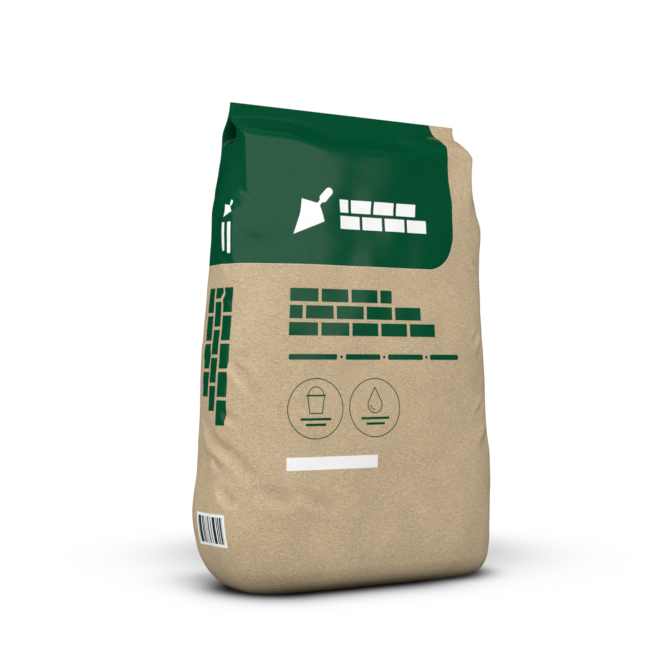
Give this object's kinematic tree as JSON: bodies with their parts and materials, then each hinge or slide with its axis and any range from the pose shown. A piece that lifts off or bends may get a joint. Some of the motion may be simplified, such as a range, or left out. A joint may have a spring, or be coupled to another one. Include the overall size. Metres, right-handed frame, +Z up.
{
  "type": "cement bag",
  "caption": "Filled paper sack of cement standing upright: a rounded block of powder under a flat pinched top seam, with side gussets that fold in below it.",
  "frame": {"origin": "middle of the sack's box on the floor plane, under the flat base", "axes": "+Z up along the sack's height to the top seam, X across the printed front, which faces -Y"},
  "size_m": [0.366, 0.14, 0.54],
  "materials": {
    "kraft_paper": "matte"
  },
  "bodies": {
    "root": {"filled_sack": "kraft_paper"}
  },
  "joints": []
}
